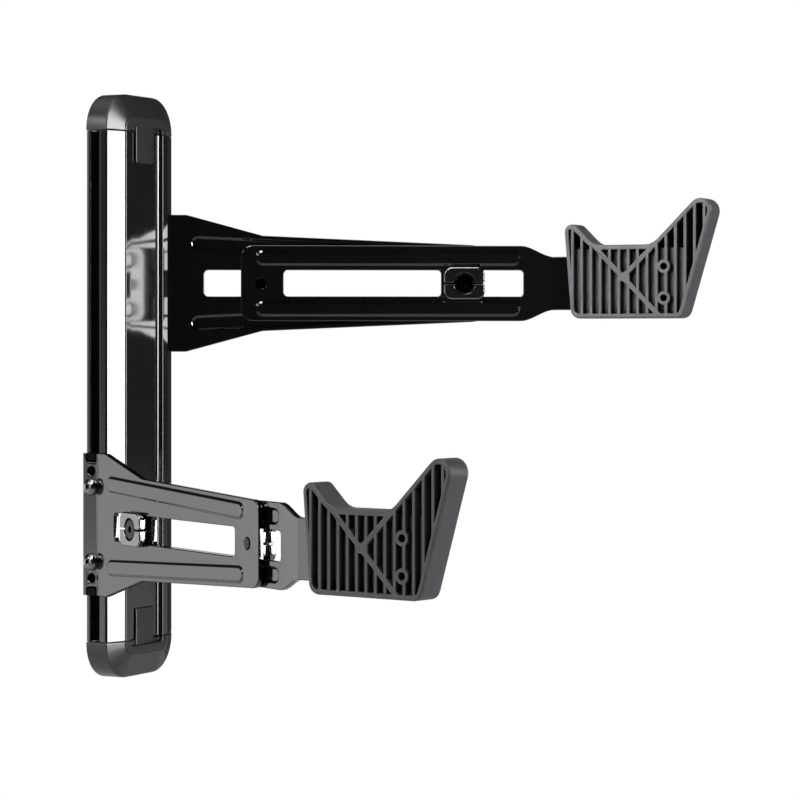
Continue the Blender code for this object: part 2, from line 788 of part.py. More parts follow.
def extension_section(side):
    # The bent strip seen from above, x from the inner clamp's axis, y from the base plate's inner face.
    middle = extension_middle()
    half = PLATE_THICKNESS / 2.0
    bend = tab_turn(side)
    turn_shift = half * math.tan(bend / 2.0)
    elbow = Vector((extension_bend(), -middle))
    along = Vector((math.cos(bend), -math.sin(bend)))
    across = Vector((math.sin(bend), math.cos(bend))) * half
    tip = elbow + along * TAB_LENGTH
    corners = [
        (-CLAMP_END_INSET, -middle + half),
        (-CLAMP_END_INSET, -middle - half),
        (elbow.x - turn_shift, elbow.y - half),
        tuple(tip - across),
        tuple(tip + across),
        (elbow.x + turn_shift, elbow.y + half),
    ]
    corners = [(x, side * y) for x, y in corners]
    radius = EXTENSION_BEND_RADIUS
    return rounded(corners, [0.0, 0.0, radius, 0.0, 0.0, radius + PLATE_THICKNESS])


def extension_silhouette(side):
    # Half outline along the top, mirrored for the bottom: wide body, S-curved neck, narrow tab.
    wide = EXTENSION_HEIGHT / 2.0
    narrow = NECK_HEIGHT / 2.0
    tip = extension_bend() + TAB_LENGTH * math.cos(tab_turn(side))
    neck_start = extension_slot_end() - NECK_SETBACK
    neck = []
    steps = 10
    for step in range(steps + 1):
        share = step / steps
        ease = share * share * (3.0 - 2.0 * share)
        neck.append((neck_start + share * NECK_LENGTH, wide + ease * (narrow - wide)))
    top = [((-CLAMP_END_INSET, wide), EXTENSION_CORNER_RADIUS)]
    top += [(place, 0.0) for place in neck]
    top += [((tip, narrow), TAB_CORNER_RADIUS)]
    bottom = [((place[0], -place[1]), radius) for place, radius in reversed(top)]
    corners = [place for place, radius in top + bottom]
    radii = [radius for place, radius in top + bottom]
    return rounded(corners, radii)


def make_extension_plate(name, side, parent):
    wide = EXTENSION_HEIGHT / 2.0
    plate = prism(name, [extension_section(side)], -wide, wide)
    reach = TAB_LENGTH + extension_middle()
    keep_inside(plate, slab("silhouette", [extension_silhouette(side)], -reach, reach))
    inner_face = -side * (SEAT_GAP + PLATE_THICKNESS)
    for sign in (1.0, -1.0):
        height = sign * EXTENSION_BEAD_SPREAD / 2.0
        start = (-EXTENSION_BEAD_LEAD, height)
        end = (extension_slot_end() - EXTENSION_BEAD_SETBACK, height)
        add_bead(plate, start, end, inner_face, -side)
    cut(plate, slot_tool(CLAMP_SLOT_SETBACK, extension_slot_end()))
    cut(plate, drill(0.0, 0.0, CLAMP_SCREW_DIAMETER + 2.0 * THREAD_GAP, plates_reach()))
    onto_tab = (Matrix.Translation((extension_bend(), -side * extension_middle(), 0.0))
                @ Matrix.Rotation(-side * tab_turn(side), 4, "Z"))
    for sign in (1.0, -1.0):
        hole = drill(BOSS_X, sign * BOSS_SPACING / 2.0, CRADLE_SCREW_DIAMETER + 2.0 * THREAD_GAP,
                     PLATE_THICKNESS)
        hole.data.transform(onto_tab)
        cut(plate, hole)
    paint_black_steel(plate)
    return put(plate, parent)


# Screws

def button_screw(name, diameter, head, head_height, length):
    # Axis along Y, the head on the -Y side, the seat of the head at y = 0.
    radius = head / 2.0
    profile = [(0.0, head_height)]
    steps = 3
    for step in range(1, steps + 1):
        angle = math.pi / 2.0 * step / steps
        profile.append((radius * (0.35 + 0.65 * math.sin(angle)) if step < steps else radius,
                        head_height * (0.12 + 0.88 * math.cos(angle))))
    profile += [(radius, 0.0), (diameter / 2.0, 0.0), (diameter / 2.0, -length + SCREW_EDGE),
                (diameter / 2.0 - SCREW_EDGE, -length), (0.0, -length)]
    profile.insert(1, (radius * 0.35, head_height))
    screw = turned(name, profile)
    screw.data.transform(Matrix.Rotation(math.pi / 2.0, 4, "X"))
    socket = slab("socket", [circle(0.0, 0.0, HEX_SOCKET / math.cos(math.pi / 6.0), 6)],
                  -head_height - CUTTER_OVERSHOOT, -head_height + HEX_SOCKET_DEPTH)
    cut(screw, socket)
    paint_black_zinc(screw)
    return screw


def flat_screw(name, diameter, head, head_height, length, socket_width, sides=ROUND_SIDES):
    # The same with a flat cheese head.
    radius = head / 2.0
    profile = [
        (0.0, head_height),
        (radius - SCREW_EDGE, head_height),
        (radius, head_height - SCREW_EDGE),
        (radius, 0.0),
        (diameter / 2.0, 0.0),
        (diameter / 2.0, -length),
        (0.0, -length),
    ]
    screw = turned(name, profile, sides)
    screw.data.transform(Matrix.Rotation(math.pi / 2.0, 4, "X"))
    socket = slab("socket", [circle(0.0, 0.0, socket_width / math.cos(math.pi / 6.0), 6)],
                  -head_height - CUTTER_OVERSHOOT, -head_height * 0.25)
    cut(screw, socket)
    paint_black_zinc(screw)
    return screw


# Clamps

def clamp_half(name, sign):
    # Split block. Its own axes: the head on the -Y side, y = 0 on the face of the slotted plate.
    half_length = CLAMP_LENGTH / 2.0
    half_height = CLAMP_HEIGHT / 2.0
    outline = rectangle(-half_length, half_length, -half_height, half_height, CLAMP_CORNER_RADIUS, 4)
    block = slab(name, [outline], -(SEAT_GAP + CLAMP_HEAD_THICKNESS), -SEAT_GAP, CLAMP_CHAMFER)
    neck_half = CLAMP_NECK_LENGTH / 2.0
    neck_height = SLOT_HEIGHT / 2.0 - SLOT_RUNNING_GAP
    neck_outline = rectangle(-neck_half, neck_half, -neck_height, neck_height, SLOT_CORNER_RADIUS)
    join(block, slab("neck", [neck_outline], -SEAT_GAP - CLAMP_HEAD_THICKNESS / 2.0, PLATE_THICKNESS))
    front = -(SEAT_GAP + CLAMP_HEAD_THICKNESS)
    counterbore = slab("counterbore", [circle(0.0, 0.0, COUNTERBORE_DIAMETER)],
                       front - CUTTER_OVERSHOOT, front + COUNTERBORE_DEPTH)
    cut(block, counterbore)
    reach = CLAMP_HEAD_THICKNESS + PLATE_THICKNESS
    cut(block, drill(0.0, 0.0, CLAMP_SCREW_DIAMETER + 2.0 * THREAD_GAP, reach))
    edges = sorted((sign * CLAMP_SPLIT / 2.0, -sign * CLAMP_HEIGHT))
    other = rectangle(-CLAMP_LENGTH, CLAMP_LENGTH, edges[0], edges[1])
    cut(block, slab("other_half", [other], -reach, reach))
    paint_black_zinc(block)
    return block


def make_clamp(prefix, parent, place, turn):
    base = frame_empty(prefix + "_frame", parent, place, turn)
    put(clamp_half(prefix + "_upper", 1.0), base)
    put(clamp_half(prefix + "_lower", -1.0), base)
    seat = -(SEAT_GAP + CLAMP_HEAD_THICKNESS) + COUNTERBORE_DEPTH - SEAT_GAP
    length = -seat + 2.0 * PLATE_THICKNESS + SEAT_GAP + CLAMP_SCREW_PROUD
    screw = flat_screw(prefix + "_screw", CLAMP_SCREW_DIAMETER, CLAMP_SCREW_HEAD,
                       CLAMP_SCREW_HEAD_HEIGHT, length, HEX_SOCKET)
    put(screw, base, (0.0, seat, 0.0))


# Fixing of the base plate in the rail's T-slot

def make_slot_bar(name, parent):
    # Bar in the T-slot's cavity, with lugs at its ends that stand out into the flange's notches.
    # Its own axes: y = 0 on the rail's side face, the rail on the +Y side.
    half_width = SLOT_CAVITY_WIDTH / 2.0 - SLOT_RUNNING_GAP
    lug_half = SLOT_OPENING / 2.0 - SLOT_RUNNING_GAP
    tall = FLANGE_HEIGHT / 2.0
    near = SLOT_LIP + SEAT_GAP
    reach = near + BAR_THICKNESS + CUTTER_OVERSHOOT
    bar = slab(name, [rectangle(-half_width, half_width, -tall, tall, BAR_CORNER_RADIUS, 3)],
               near, near + BAR_THICKNESS)
    for sign in (1.0, -1.0):
        edges = sorted((sign * (tall - LUG_LENGTH), sign * tall))
        lug = slab("lug", [rectangle(-lug_half, lug_half, edges[0], edges[1], LUG_CORNER_RADIUS, 3)],
                   -(SEAT_GAP + PLATE_THICKNESS), near + BAR_THICKNESS / 2.0)
        join(bar, lug)
        height = sign * BRACKET_SCREW_SPACING / 2.0
        cut(bar, drill(0.0, height, BRACKET_SCREW_DIAMETER + 2.0 * THREAD_GAP, reach))
    paint_black_zinc(bar)
    return put(bar, parent)


def make_fixing(prefix, side, height):
    # Local -Y points out of the rail's side.
    place = (side * RAIL_WIDTH / 2.0, -SLOT_CENTRE, height)
    base = frame_empty(prefix + "_slot_frame", None, place, side * math.pi / 2.0)
    make_slot_bar(prefix + "_slot_bar", base)
    seat = -(SEAT_GAP + PLATE_THICKNESS + SEAT_GAP)
    length = -seat + SLOT_LIP + SEAT_GAP + BAR_THICKNESS + BRACKET_SCREW_PROUD
    for name, sign in (("upper", 1.0), ("lower", -1.0)):
        screw = button_screw(prefix + "_" + name + "_bracket_screw", BRACKET_SCREW_DIAMETER,
                             BUTTON_HEAD_DIAMETER, BUTTON_HEAD_HEIGHT, length)
        put(screw, base, (0.0, seat, sign * BRACKET_SCREW_SPACING / 2.0))


# Cradle

def cradle_corners():
    return [
        (CRADLE_LEFT_BOTTOM_X, CRADLE_BOTTOM_Z),
        (CRADLE_RIGHT_BOTTOM_X, CRADLE_BOTTOM_Z),
        (CRADLE_RIGHT_TOP_X, CRADLE_RIGHT_TOP_Z),
        (NOTCH_FLOOR_END, NOTCH_FLOOR_Z),
        (NOTCH_FLOOR_START, NOTCH_FLOOR_Z),
        (CRADLE_LEFT_TOP_X, CRADLE_LEFT_TOP_Z),
    ]


def cradle_radii():
    bottom = CRADLE_BOTTOM_RADIUS
    floor = NOTCH_FLOOR_RADIUS
    return [bottom, bottom, OUTER_HORN_RADIUS, floor, floor, INNER_HORN_RADIUS]


def brace(name, start, end, front, back):
    # A straight rib between two points of the cradle's face, rooted by half its thickness at both.
    first = Vector(start)
    last = Vector(end)
    along = (last - first).normalized()
    across = Vector((-along.y, along.x)) * BRACE_THICKNESS / 2.0
    first = first - along * BRACE_THICKNESS / 2.0
    last = last + along * BRACE_THICKNESS / 2.0
    outline = [tuple(first + across), tuple(first - across), tuple(last - across), tuple(last + across)]
    return slab(name, [outline], front, back)


def cradle_pockets():
    # What is moulded hollow in the front: the inset outline less the core, ribs, braces and bosses.
    radii = []
    for index, radius in enumerate(cradle_radii()):
        concave = index in (3, 4)
        radii.append(radius + CRADLE_RIM if concave else max(radius - CRADLE_RIM, POCKET_CORNER_RADIUS))
    outline = rounded(inset(cradle_corners(), CRADLE_RIM), radii, None)
    front = -CRADLE_THICKNESS - CUTTER_OVERSHOOT
    back = -CRADLE_THICKNESS + POCKET_DEPTH
    pockets = slab("pockets", [outline], front, back)
    deep_front = front - CUTTER_OVERSHOOT
    deep_back = back + CUTTER_OVERSHOOT
    core_end = RIB_START + CORE_LAST_RIB * RIB_PITCH
    core_top = NOTCH_FLOOR_Z - CRADLE_RIM + CUTTER_OVERSHOOT
    core = rectangle(RIB_START, core_end, CRADLE_BOTTOM_Z, core_top)
    cut(pockets, slab("core", [core], -CRADLE_THICKNESS + CORE_POCKET_DEPTH, deep_back))
    for index in range(RIB_COUNT):
        middle = RIB_START + index * RIB_PITCH
        outline = rectangle(middle - RIB_THICKNESS / 2.0, middle + RIB_THICKNESS / 2.0,
                            CRADLE_BOTTOM_Z, CRADLE_RIGHT_TOP_Z)
        cut(pockets, slab("rib", [outline], deep_front, deep_back))
    corner_top = (BRACE_START_X, NOTCH_FLOOR_Z)
    corner_bottom = (BRACE_END_X, CRADLE_BOTTOM_Z)
    cut(pockets, brace("brace", corner_top, corner_bottom, deep_front, deep_back))
    branch_start = (BRANCH_START_X, BRANCH_START_Z)
    branch_end = (BRANCH_END_X, NOTCH_FLOOR_Z)
    cut(pockets, brace("branch", branch_start, branch_end, deep_front, deep_back))
    junction = circle(BRANCH_START_X, BRANCH_START_Z, JUNCTION_DIAMETER, SMALL_ROUND_SIDES)
    cut(pockets, slab("junction", [junction], deep_front, deep_back))
    for sign in (1.0, -1.0):
        boss = slab("boss", [circle(BOSS_X, sign * BOSS_SPACING / 2.0, BOSS_DIAMETER)],
                    deep_front, deep_back)
        cut(pockets, boss)
    return pockets


def round_front(item, radius):
    # Rounds the edge all the way round the front face.
    work = bmesh.new()
    work.from_mesh(item.data)
    front = min(work.faces, key=lambda face: face.normal.y)
    bmesh.ops.bevel(work, geom=front.edges[:], offset=radius, segments=2, profile=0.5, affect="EDGES")
    work.to_mesh(item.data)
    work.free()


def make_cradle(name, parent):
    # Its own axes: x along the tab from the bend, y = 0 on the tab's middle plane, the ribs on the -Y side.
    cradle = slab(name, [rounded(cradle_corners(), cradle_radii(), None)], -CRADLE_THICKNESS, 0.0)
    merge_front(cradle)
    round_front(cradle, CRADLE_EDGE_RADIUS)
    cut(cradle, cradle_pockets())
    half = NECK_HEIGHT / 2.0 + SEAT_GAP
    seat = -(PLATE_THICKNESS / 2.0 + SEAT_GAP)
    recess = rectangle(0.0, TAB_LENGTH + SEAT_GAP, -half, half)
    cut(cradle, slab("tab_recess", [recess], seat, CUTTER_OVERSHOOT))
    for sign in (1.0, -1.0):
        height = sign * BOSS_SPACING / 2.0
        cut(cradle, drill(BOSS_X, height, CRADLE_SCREW_DIAMETER + 2.0 * THREAD_GAP,
                          CRADLE_THICKNESS + CUTTER_OVERSHOOT))
    paint_matte_plastic(cradle)
    return put(cradle, parent)


def make_cradle_screws(prefix, parent):
    seat = PLATE_THICKNESS / 2.0 + SEAT_GAP
    for name, sign in (("upper", 1.0), ("lower", -1.0)):
        screw = flat_screw(prefix + "_" + name + "_cradle_screw", CRADLE_SCREW_DIAMETER, CRADLE_SCREW_HEAD,
                           CRADLE_SCREW_HEAD_HEIGHT, CRADLE_SCREW_LENGTH, CRADLE_SCREW_SOCKET,
                           SMALL_ROUND_SIDES)
        put(screw, parent, (BOSS_X, seat, sign * BOSS_SPACING / 2.0), (0.0, 0.0, math.pi))


# Arms

def make_arm(prefix, side, height, extension):
    # The arm's empty stands at the bend: its X runs along the arm and its Z up.
    # On the left arm the outer side is -Y, on the right arm it is +Y.
    bend = (side * (RAIL_WIDTH / 2.0 + SEAT_GAP), -BEND_FROM_WALL, height)
    heading = -math.pi / 2.0 + side * ARM_SPLAY
    arm = frame_empty(prefix + "_arm", None, bend, heading)
    make_base_plate(prefix + "_base_plate", side, arm)
    make_fixing(prefix, side, height)
    behind = -side * (SEAT_GAP + PLATE_THICKNESS)
    outer_turn = 0.0 if side > 0.0 else math.pi
    make_clamp(prefix + "_outer_clamp", arm, (outer_clamp_place(), behind, 0.0), outer_turn)
    slider = frame_empty(prefix + "_extension", arm, (extension, 0.0, 0.0))
    make_extension_plate(prefix + "_extension_plate", side, slider)
    front = side * PLATE_THICKNESS
    make_clamp(prefix + "_inner_clamp", slider, (0.0, front, 0.0), outer_turn + math.pi)
    tab_place = (extension_bend(), -side * extension_middle(), 0.0)
    tab = frame_empty(prefix + "_tab", slider, tab_place, -side * tab_turn(side))
    make_cradle(prefix + "_cradle", tab)
    make_cradle_screws(prefix, tab)


def build():
    put(make_rail(), None)
    make_cap("top_cap", 1.0)
    make_cap("bottom_cap", -1.0)
    end = RAIL_LENGTH / 2.0 - WALL_SCREW_SETBACK
    make_wall_screw("upper_wall_screw", end)
    make_wall_screw("lower_wall_screw", -end)
    make_arm("left", -1.0, LEFT_ARM_FROM_END - RAIL_LENGTH / 2.0, LEFT_EXTENSION)
    make_arm("right", 1.0, RAIL_LENGTH / 2.0 - RIGHT_ARM_FROM_END, RIGHT_EXTENSION)


clear_scene()
parts = new_collection("horizontal_bike_wall_mount")
cutters = new_collection("cutters")
build()
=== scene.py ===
# Looks of the horizontal bike wall mount: finishes, softened edges, light, stage and camera.

import math
import bpy
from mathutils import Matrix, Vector

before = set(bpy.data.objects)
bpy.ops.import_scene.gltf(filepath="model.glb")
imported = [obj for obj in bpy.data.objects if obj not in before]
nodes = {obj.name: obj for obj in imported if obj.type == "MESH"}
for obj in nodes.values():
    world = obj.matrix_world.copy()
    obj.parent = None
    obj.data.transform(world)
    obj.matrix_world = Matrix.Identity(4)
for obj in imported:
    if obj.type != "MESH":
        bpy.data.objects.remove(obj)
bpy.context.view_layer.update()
scene = bpy.context.scene
millimetre = 0.001
print("frame loaded:", len(nodes), "pieces")


# Helpers

shaderInputs = {
    "roughness": "Roughness",
    "metallic": "Metallic",
    "ior": "IOR",                 # a metal gives none and keeps the default
    "specular": "Specular IOR Level",
}
usualNoise = (0.3, 0.7)           # nearly all of a noise texture's values lie between these


def linear(hexColour):
    # sRGB hex to the linear colour that a shader takes
    channels = [int(hexColour[place:place + 2], 16) / 255.0 for place in (1, 3, 5)]
    return tuple(c / 12.92 if c <= 0.04045 else ((c + 0.055) / 1.055) ** 2.4 for c in channels) + (1.0,)


def addNode(tree, kind, settings=None, inputs=None):
    # adds a node; an input takes a value or the socket that feeds it
    node = tree.nodes.new(kind)
    for name, value in (settings or {}).items():
        setattr(node, name, value)
    for name, value in (inputs or {}).items():
        if isinstance(value, bpy.types.NodeSocket):
            tree.links.new(value, node.inputs[name])
        else:
            node.inputs[name].default_value = value
    return node


def newFinish(name, values):
    # a material with what is the same all over the surface set on the shader itself
    finish = bpy.data.materials.new(name)
    finish.use_nodes = True
    tree = finish.node_tree
    shader = tree.nodes["Principled BSDF"]
    shader.inputs["Base Color"].default_value = linear(values["colour"])
    for key, socket in shaderInputs.items():
        if key in values:
            shader.inputs[socket].default_value = values[key]
    return finish, tree, shader


def grain(tree, sizes, detail=2.0):
    # noise in the part's own frame; sizes are the grain's millimetres along X, Y and Z
    place = addNode(tree, "ShaderNodeTexCoord")
    scale = [1.0 / (size * millimetre) for size in sizes]
    spread = addNode(tree, "ShaderNodeMapping", {}, {"Vector": place.outputs["Object"], "Scale": scale})
    return addNode(tree, "ShaderNodeTexNoise", {}, {
        "Vector": spread.outputs[0], "Scale": 1.0, "Detail": detail})


def varyGloss(tree, shader, noise, values):
    # lets the roughness wander with the noise, between two shares of its value
    low, high = [values["roughness"] * share for share in values["haze"]]
    haze = addNode(tree, "ShaderNodeMapRange", {}, {
        "Value": noise.outputs[0], "From Min": usualNoise[0], "From Max": usualNoise[1],
        "To Min": low, "To Max": high})
    tree.links.new(haze.outputs[0], shader.inputs["Roughness"])


def roughen(tree, shader, noise, values):
    # raises the surface by the noise
    relief = addNode(tree, "ShaderNodeBump", {}, {
        "Height": noise.outputs[0], "Distance": values["depth"] * millimetre, "Strength": values["relief"]})
    tree.links.new(relief.outputs[0], shader.inputs["Normal"])


def paintShade(tree, shader, values):
    # painted shade: the base colour turns near black in the recesses that light hardly reaches
    openness = addNode(tree, "ShaderNodeAmbientOcclusion", {"samples": 12, "only_local": True}, {
        "Distance": values["shadeReach"] * millimetre})
    share = addNode(tree, "ShaderNodeMapRange", {"interpolation_type": "SMOOTHSTEP"}, {
        "Value": openness.outputs["AO"], "From Min": values["shadeFrom"], "From Max": values["shadeTo"]})
    blend = addNode(tree, "ShaderNodeMix", {"data_type": "RGBA"}, {     # its colours are sockets 6 and 7
        "Factor": share.outputs[0], 6: linear(values["shadeColour"]), 7: linear(values["colour"])})
    tree.links.new(blend.outputs[2], shader.inputs["Base Color"])


def dress(finish, names):
    # gives pieces a finish and keeps the slot that the frame knows it by
    for name in names:
        piece = nodes[name]
        piece.material_slots[0].material = finish


# Finishes; haze is the shares of the roughness that it wanders between, depth is in millimetres, relief
# is how much of that depth shows, and a pattern that is too fine to show is drawn coarser

railFinish = {
    "colour": "#161617",
    "roughness": 0.09,
    "metallic": 0.0,
    "ior": 1.5,                   # sealed aluminium oxide
    # millimetres across and along; real draw lines are about 0.1 wide, too fine to show
    "drawLines": (0.7, 0.7, 160.0),
    "haze": (0.8, 1.25),
    "depth": 0.004,
    "relief": 0.6,
}


def anodisedAluminium(values):
    # Extruded, bright dipped and dyed black: a hard clear gloss with faint draw lines along the rail.
    finish, tree, shader = newFinish("black anodised aluminium", values)
    lines = grain(tree, values["drawLines"], detail=3.0)
    varyGloss(tree, shader, lines, values)
    roughen(tree, shader, lines, values)
    return finish


plateFinish = {
    "colour": "#060606",
    "roughness": 0.07,
    "metallic": 0.0,
    "ior": 1.6,                   # baked enamel
    "peel": 3.5,                  # millimetres from wave to wave, as on real enamel
    "haze": (0.9, 1.2),
    "depth": 0.004,
    "relief": 0.5,
}


def bakedEnamel(values):
    # Steel plate, blanked, pressed and stove enamelled: wet-looking black with a trace of orange peel.
    finish, tree, shader = newFinish("black gloss enamel on steel", values)
    peel = grain(tree, (values["peel"],) * 3, detail=1.0)
    varyGloss(tree, shader, peel, values)
    roughen(tree, shader, peel, values)
    return finish


capFinish = {
    "colour": "#262627",
    "roughness": 0.3,
    "metallic": 0.0,
    "ior": 1.53,                  # ABS
    "specular": 0.36,             # the fine grain takes some of the gloss
    "spark": 0.35,                # millimetres; real spark grain is about 0.1, too fine to show
    "haze": (0.9, 1.12),
    "depth": 0.01,
    "relief": 0.5,
}


def mouldedAbs(values):
    # ABS from a finely sparked mould: satin, soft reflections that follow the stepped form.
    finish, tree, shader = newFinish("satin black ABS", values)
    spark = grain(tree, (values["spark"],) * 3)
    varyGloss(tree, shader, spark, values)
    roughen(tree, shader, spark, values)
    return finish


cradleFinish = {
    "colour": "#454547",
    # painted shade: the near black colour that the pockets' depths are painted with
    "shadeColour": "#030303",
    "shadeReach": 10.0,            # millimetres over which the painted shade of a pocket reaches
    "shadeFrom": 0.26,             # share of open room at which the colour is the painted shade
    "shadeTo": 0.58,               # and at which it is the plain one
    "roughness": 0.5,
    "metallic": 0.0,
    "ior": 1.53,                  # polyamide
    "specular": 0.25,             # the coarse grain takes half of the gloss
    "spark": 0.6,                 # millimetres; real spark grain is about 0.2, too fine to show
    "flow": 18.0,                 # millimetres between the flow marks
    "haze": (0.88, 1.15),
    "depth": 0.02,
    "relief": 0.6,
}


def glassFilledNylon(values):
    # Glass-filled nylon, moulded: dark grey, matt, a little uneven where the melt flowed, with painted
    # shade darkening its pockets.
    finish, tree, shader = newFinish("matt dark grey nylon", values)
    spark = grain(tree, (values["spark"],) * 3)
    flow = grain(tree, (values["flow"],) * 3)
    varyGloss(tree, shader, flow, values)
    roughen(tree, shader, spark, values)
    # paints shade into the pockets, darker where less light reaches
    paintShade(tree, shader, values)
    return finish


clampFinish = {
    "colour": "#707072",
    "roughness": 0.2,
    "metallic": 1.0,
    "tumble": 1.2,                # millimetres; real tumbling marks are about 0.3, too fine to show
    "haze": (0.8, 1.3),
    "depth": 0.006,
    "relief": 0.5,
}


def blackNickel(values):
    # Zinc blocks, die cast, tumbled and plated in smoky nickel: soft metal sheen, bright on the chamfers.
    finish, tree, shader = newFinish("smoky nickel plated zinc", values)
    tumble = grain(tree, (values["tumble"],) * 3, detail=3.0)
    varyGloss(tree, shader, tumble, values)
    roughen(tree, shader, tumble, values)
    return finish


headFinish = {                    # the bracket screws' button heads
    "colour": "#6C6C6E",
    "roughness": 0.16,
    "metallic": 1.0,
    "forging": 0.8,               # millimetres; the real skin is about 0.2, too fine to show
    "haze": (0.8, 1.35),
    "depth": 0.006,
    "relief": 0.5,
}

screwFinish = {                   # every other screw, and the slot bars
    "colour": "#101011",
    "roughness": 0.22,
    "metallic": 1.0,
    "forging": 0.8,
    "haze": (0.8, 1.35),
    "depth": 0.006,
    "relief": 0.5,
}


def forgedSteel(name, values):
    # Cold forged steel with a slightly uneven skin: bright where it is zinc plated, dark where it is oiled.
    finish, tree, shader = newFinish(name, values)
    forging = grain(tree, (values["forging"],) * 3, detail=3.0)
    varyGloss(tree, shader, forging, values)
    roughen(tree, shader, forging, values)
    return finish


plates = [name for name in nodes if name.endswith("_plate")]
caps = ["top_cap", "bottom_cap"]
cradles = [name for name in nodes if name.endswith("_cradle")]
screws = [name for name in nodes if name.endswith("_screw")]
heads = [name for name in screws if name.endswith("_bracket_screw")]
bars = [name for name in nodes if name.endswith("_slot_bar")]
clamps = [name for name in nodes if name.endswith(("_clamp_upper", "_clamp_lower"))]

dress(anodisedAluminium(railFinish), ["wall_rail"])
dress(bakedEnamel(plateFinish), plates)
dress(mouldedAbs(capFinish), caps)
dress(glassFilledNylon(cradleFinish), cradles)
dress(blackNickel(clampFinish), clamps)
dress(forgedSteel("zinc plated steel", headFinish), heads)
blackSteel = forgedSteel("black oxide steel", screwFinish)
dress(blackSteel, [name for name in screws if name not in heads])
dress(blackSteel, bars)
print("finishes done")


# Softened edges

edges = {
    # pieces, radius in millimetres, steps round it, and the least angle in degrees that is an edge
    "rail": (["wall_rail"], 0.25, 2, 40),
    "plates": (plates, 0.8, 3, 40),  # the slopes of the beads leave no room for more
    "caps": (caps, 0.8, 2, 40),
    "cradles": (cradles, 0.4, 2, 35),
    "clamps": (clamps, 0.3, 2, 35),
    "screws": (screws, 0.15, 2, 35),
}
seam = 0.01                       # millimetres, within which the corners of two faces are one
faceWeight = 90                   # how far a large face leads the shading of its rounded edge


def softenEdges(piece, radius, steps, leastAngle):
    # rounds the edges that real tools can't leave sharp
    piece.data.shade_smooth()
    weld = piece.modifiers.new("close seams", "WELD")
    weld.merge_threshold = seam * millimetre
    bevel = piece.modifiers.new("round edges", "BEVEL")
    bevel.width = radius * millimetre
    bevel.segments = steps
    bevel.limit_method = "ANGLE"
    bevel.angle_limit = math.radians(leastAngle)
    bevel.use_clamp_overlap = False
    bevel.loop_slide = False
    bevel.miter_outer = "MITER_ARC"
    even = piece.modifiers.new("even shading", "WEIGHTED_NORMAL")
    even.keep_sharp = False
    even.weight = faceWeight


for names, radius, steps, leastAngle in edges.values():
    for name in names:
        softenEdges(nodes[name], radius, steps, leastAngle)
print("edges softened")


# Stage

middle = (0.0, -0.2, 0.0)         # the mount's, over the floor's middle and where most lamps aim

stage = {
    "floorHeight": -0.9,          # the mount hangs at working height over it
    "floorRadius": 2.6,
    "floorSides": 96,
    "floorColour": "#F4F4F4",
    "fadeFrom": 0.9,              # metres from its middle, where it starts to melt into the white room
    "fadeTo": 0.96,               # share of its radius, where it is all white
}


def makeFloor(values):
    place = (middle[0], middle[1], values["floorHeight"])
    bpy.ops.mesh.primitive_circle_add(vertices=values["floorSides"], radius=values["floorRadius"],
                                      fill_type="NGON", location=place)
    floor = bpy.context.object
    floor.name = "studio_floor"
    finish, tree, shader = newFinish("pale matt floor", {
        "colour": values["floorColour"], "roughness": 0.9, "metallic": 0.0, "ior": 1.4})
    spot = addNode(tree, "ShaderNodeTexCoord")
    reach = addNode(tree, "ShaderNodeVectorMath", {"operation": "LENGTH"}, {0: spot.outputs["Object"]})
    ray = addNode(tree, "ShaderNodeLightPath")
    fade = addNode(tree, "ShaderNodeMapRange", {"interpolation_type": "SMOOTHSTEP"}, {
        "Value": reach.outputs["Value"], "From Min": values["fadeFrom"],
        "From Max": values["floorRadius"] * values["fadeTo"], "To Max": ray.outputs["Is Camera Ray"]})
    white = addNode(tree, "ShaderNodeEmission", {}, {"Strength": 1.0})
    blend = addNode(tree, "ShaderNodeMixShader", {}, {
        0: fade.outputs[0], 1: shader.outputs[0], 2: white.outputs[0]})
    tree.links.new(blend.outputs[0], tree.nodes["Material Output"].inputs["Surface"])
    floor.data.materials.append(finish)


makeFloor(stage)
print("floor done")


# Light; left and right are as the camera sees them, and degrees run from +X towards +Y

room = {
    "fill": 0.48,                 # what the white room gives to matt surfaces
    "brightest": 3.6,             # the whitest of its walls, as gloss sees it
    # shares of it by degrees: dark in front of the mount, dim behind it and bright on the left
    "wallAround": [(-180, 0.014), (-120, 0.014), (-90, 0.0), (-60, 0.026), (-10, 0.026), (5, 0.006),
                   (15, 0.05), (25, 0.25), (60, 0.3), (84, 0.42), (88, 0.46), (90, 0.6), (115, 0.7),
                   (131, 0.85), (139, 0.4), (145, 0.0)],
    # and by height, from -1 straight down to 1 straight up
    "wallUpwards": [(-1.0, 0.8), (-0.16, 1.0), (0.06, 1.0), (0.12, 0.75), (0.24, 0.03), (0.7, 0.03),
                    (0.9, 0.5)],
    # a low pale panel at that wall's near end, by degrees and by height
    "sideAround": [(-180, 0.0), (134, 0.0), (141, 0.6), (150, 0.85), (156, 0.3), (159, 0.0)],
    "sideUpwards": [(-1.0, 1.0), (-0.095, 1.0), (-0.075, 0.56), (-0.04, 0.45), (-0.03, 0.32),
                    (-0.02, 0.18), (0.0, 0.12), (0.03, 0.04), (0.2, 0.015)],
    # round softboxes: degrees around, degrees up, half the width in degrees, strength
    "boxes": [
        (-79, 7.5, 17, 25.0),     # large, on the right
        (-175, 52, 11, 30.0),     # high, behind the camera on its left
        (30, 88, 14, 8.0),        # overhead
        (172, 22, 4, 40.0),       # small and bright, behind the camera on its left
        (147, 26, 9, 9.0),        # on the left
        (-88, 2, 6, 30.0),        # the bright core of the large one
        (-32, -9, 5, 0.75),       # low and dim, on the right
    ],
    "boxRim": 1.5,                # degrees on either side of a softbox's edge over which it fades
}
turn = (-180.0, 180.0)            # degrees that the levels around span
height = (-1.0, 1.0)              # and the heights that those upwards span


